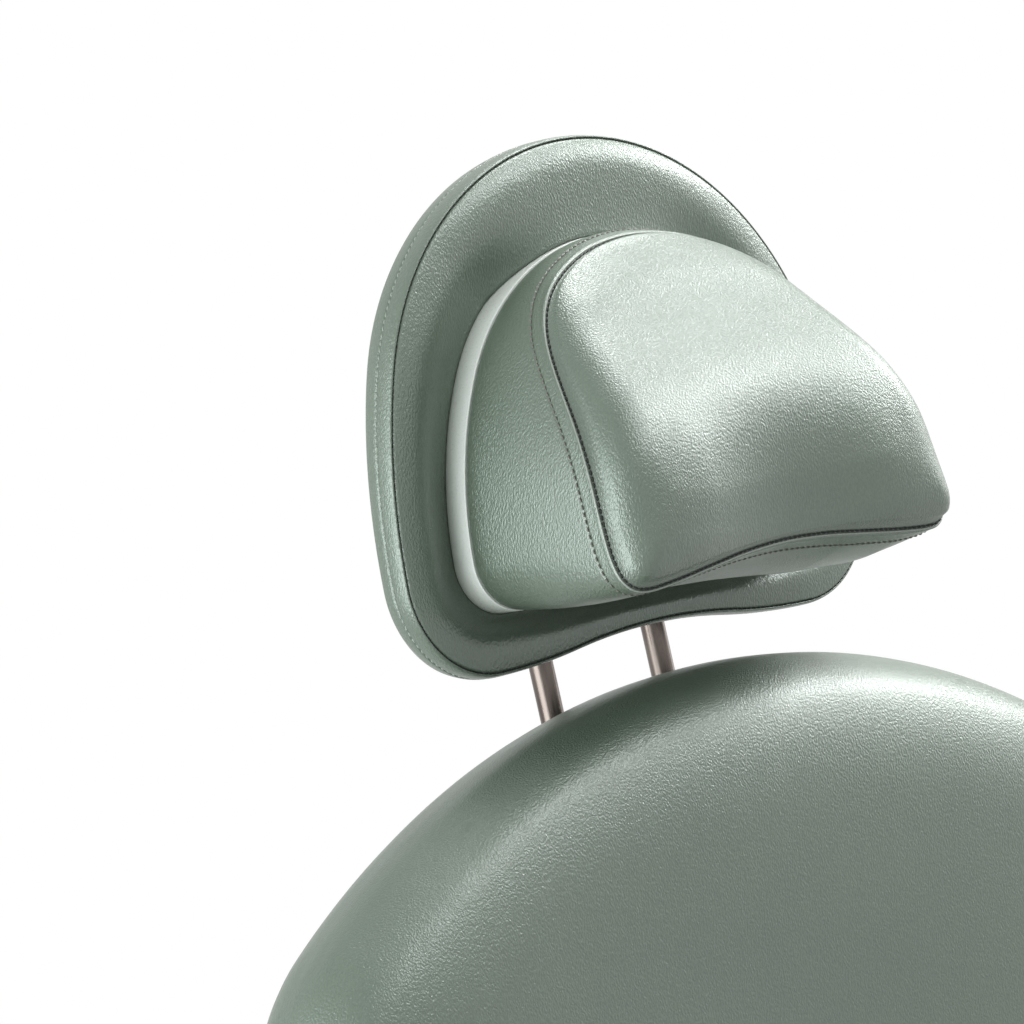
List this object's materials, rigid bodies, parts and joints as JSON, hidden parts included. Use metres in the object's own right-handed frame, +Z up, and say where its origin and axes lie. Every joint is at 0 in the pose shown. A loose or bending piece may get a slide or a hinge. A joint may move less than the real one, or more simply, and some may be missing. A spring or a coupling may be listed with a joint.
{
  "type": "power procedure chair",
  "caption": "Upholstered power procedure chair on a lift column, with arched headrest on posts, reclining back, legrest and fold-up arms.",
  "frame": {"origin": "centre of the anchor hole pattern on the underside of the base plate, on the floor", "axes": "+Z up, -Y to the front where the sitter faces, +X to the right in the front view"},
  "size_m": [0.888, 1.0255, 1.5258],
  "materials": {
    "sage_leather": "fine grain leatherette, satin",
    "cream_plastic": "moulded, semi gloss",
    "bronze_metal": "brushed, bronze tone",
    "cream_paint": "powder coat, satin",
    "frame_steel": "powder coat, matt",
    "zinc_steel": "zinc plated",
    "black_plastic": "moulded, matt",
    "plywood": "raw plywood",
    "button_rubber": "moulded, matt"
  },
  "bodies": {
    "base": {"base_plate": "cream_paint", "base_cover": "cream_plastic", "lift_column_outer": "cream_paint", "lift_motor": "black_plastic", "lift_screw": "zinc_steel", "control_box": "black_plastic", "mains_inlet": "black_plastic", "foot_control_housing": "black_plastic"},
    "column_middle": {"lift_column_middle": "zinc_steel", "lift_screw_middle": "zinc_steel"},
    "seat": {"lift_column_inner": "zinc_steel", "lift_nut_tube": "zinc_steel", "lift_head": "frame_steel", "lift_risers": "frame_steel", "seat_rails": "frame_steel", "seat_crossbars": "frame_steel", "seat_board": "plywood", "seat_cushion": "sage_leather", "seat_side_covers": "cream_plastic", "accessory_rails": "bronze_metal", "arm_posts": "bronze_metal", "frame_hinge_pins": "zinc_steel", "actuator_brackets": "frame_steel", "back_actuator_body": "black_plastic", "leg_actuator_body": "black_plastic"},
    "back": {"back_uprights": "frame_steel", "back_crossbars": "frame_steel", "back_board": "plywood", "back_cushion": "sage_leather", "back_shell": "cream_plastic", "post_guide_block": "black_plastic", "post_guide_sleeves": "bronze_metal"},
    "back_drive_rod": {"back_actuator_rod": "zinc_steel"},
    "leg": {"leg_rails": "frame_steel", "leg_crossbars": "frame_steel", "leg_board": "plywood", "leg_cushion": "sage_leather", "leg_shell": "cream_plastic"},
    "leg_drive_rod": {"leg_actuator_rod": "zinc_steel"},
    "foot_extension": {"foot_extension_frame": "frame_steel", "foot_extension_pad": "sage_leather"},
    "headrest_mast": {"headrest_posts": "bronze_metal", "headrest_post_heads": "bronze_metal", "headrest_hinge_pin": "zinc_steel"},
    "headrest": {"headrest_panel_pad": "sage_leather", "headrest_board": "cream_plastic", "headrest_hinge_bracket": "frame_steel", "headrest_screws": "zinc_steel", "headrest_trim_plate": "cream_plastic", "head_cushion": "sage_leather"},
    "height_lock": {"headrest_lock_knob": "black_plastic"},
    "tilt_lock": {"headrest_tilt_knob": "black_plastic"},
    "arm_left": {"arm_frame_left": "bronze_metal", "arm_pad_left": "sage_leather"},
    "arm_right": {"arm_frame_right": "bronze_metal", "arm_pad_right": "sage_leather"},
    "button_raise": {"foot_button_raise": "button_rubber"},
    "button_lower": {"foot_button_lower": "button_rubber"},
    "button_recline": {"foot_button_recline": "button_rubber"},
    "button_legs": {"foot_button_legs": "button_rubber"}
  },
  "joints": [
    {"name": "lift", "type": "slide", "parent": "base", "child": "seat", "axis": [0, 0, 1], "range_m": [0, 0.3]},
    {"name": "lift_middle", "type": "slide", "parent": "base", "child": "column_middle", "axis": [0, 0, 1], "range_m": [0, 0.15]},
    {"name": "recline", "type": "hinge", "parent": "seat", "child": "back", "pos_m": [0, 0.162, 0.505], "axis": [-1, 0, 0], "range_deg": [-3, 67]},
    {"name": "back_drive", "type": "slide", "parent": "seat", "child": "back_drive_rod", "axis": [0, 1, 0], "range_m": [-0.14, 0.01]},
    {"name": "leg_raise", "type": "hinge", "parent": "seat", "child": "leg", "pos_m": [0, -0.366, 0.5], "axis": [-1, 0, 0], "range_deg": [0, 80]},
    {"name": "leg_drive", "type": "slide", "parent": "seat", "child": "leg_drive_rod", "axis": [0, 1, 0], "range_m": [-0.16, 0.001]},
    {"name": "foot_extend", "type": "slide", "parent": "leg", "child": "foot_extension", "axis": [0, -0.1736, -0.9848], "range_m": [0, 0.1]},
    {"name": "headrest_height", "type": "slide", "parent": "back", "child": "headrest_mast", "axis": [0, 0.3173, 0.9483], "range_m": [-0.015, 0.085]},
    {"name": "headrest_tilt", "type": "hinge", "parent": "headrest_mast", "child": "headrest", "pos_m": [0, 0.5094, 1.36206], "axis": [-1, 0, 0], "range_deg": [-6, 35]},
    {"name": "height_lock_turn", "type": "hinge", "parent": "back", "child": "height_lock", "pos_m": [0, 0.47069, 1.10295], "axis": [0, 0.9483, -0.3173], "range_deg": [0, 360]},
    {"name": "tilt_lock_turn", "type": "hinge", "parent": "headrest_mast", "child": "tilt_lock", "pos_m": [0, 0.5094, 1.36206], "axis": [1, 0, 0], "range_deg": [0, 270]},
    {"name": "arm_left_fold", "type": "hinge", "parent": "seat", "child": "arm_left", "pos_m": [0, 0.07, 0.712], "axis": [-1, 0, 0], "range_deg": [0, 95]},
    {"name": "arm_right_fold", "type": "hinge", "parent": "seat", "child": "arm_right", "pos_m": [0, 0.07, 0.712], "axis": [-1, 0, 0], "range_deg": [0, 95]},
    {"name": "press_raise", "type": "slide", "parent": "base", "child": "button_raise", "axis": [0, 0, -1], "range_m": [0, 0.005], "stiffness_N_per_m": 700},
    {"name": "press_lower", "type": "slide", "parent": "base", "child": "button_lower", "axis": [0, 0, -1], "range_m": [0, 0.005], "stiffness_N_per_m": 700},
    {"name": "press_recline", "type": "slide", "parent": "base", "child": "button_recline", "axis": [0, 0, -1], "range_m": [0, 0.005], "stiffness_N_per_m": 700},
    {"name": "press_legs", "type": "slide", "parent": "base", "child": "button_legs", "axis": [0, 0, -1], "range_m": [0, 0.005], "stiffness_N_per_m": 700}
  ],
  "couplings": [
    {"joint": "lift_middle", "follows": "lift", "ratio": 0.5},
    {"joint": "back_drive", "follows": "recline", "m_per_rad": -0.11412},
    {"joint": "leg_drive", "follows": "leg_raise", "m_per_rad": -0.1126}
  ]
}
